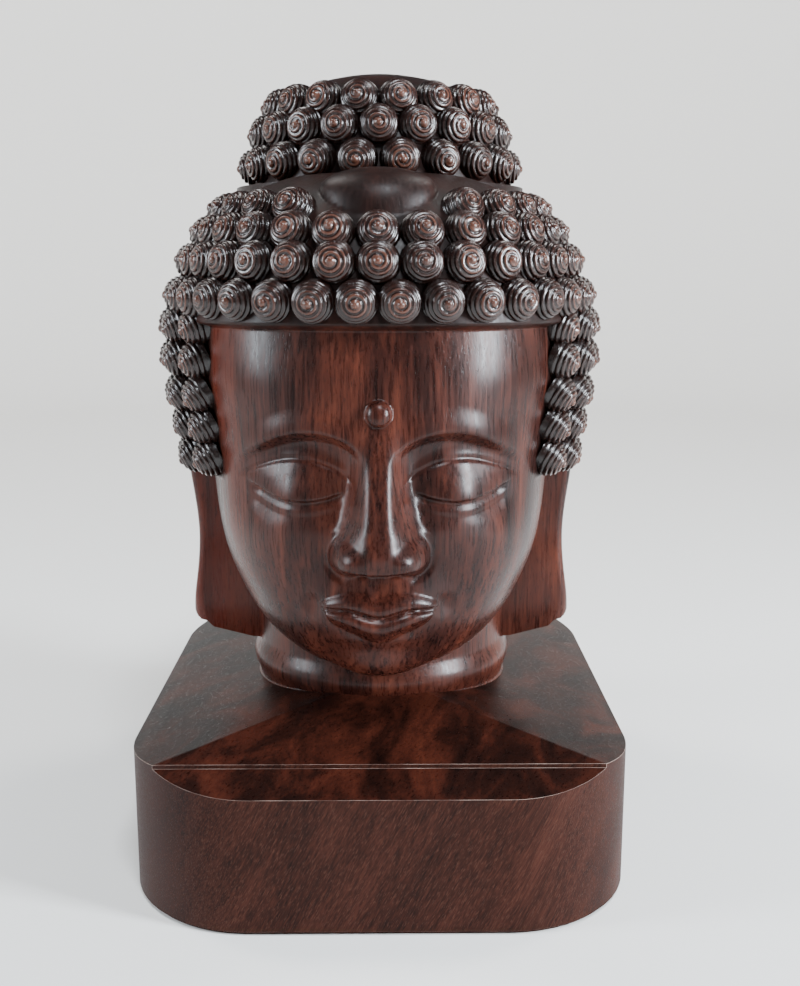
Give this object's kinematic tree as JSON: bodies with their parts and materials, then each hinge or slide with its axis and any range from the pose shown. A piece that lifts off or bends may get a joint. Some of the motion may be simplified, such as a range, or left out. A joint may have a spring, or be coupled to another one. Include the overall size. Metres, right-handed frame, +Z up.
{
  "type": "carved wooden buddha head",
  "caption": "Dark polished hardwood head of the Buddha with snail-curl hair, long ear lobes and a topknot, carved in one with a low rounded block that it stands on.",
  "frame": {"origin": "middle of the block's underside", "axes": "+Z up through the head, -Y toward the front of the face, +X to the right of someone who looks at the face"},
  "size_m": [0.096, 0.112, 0.157],
  "materials": {
    "dark_rosewood": "oiled and polished dark rosewood, satin on the block's walls and glossy on the head"
  },
  "bodies": {
    "root": {"buddha_head": "dark_rosewood"}
  },
  "joints": []
}
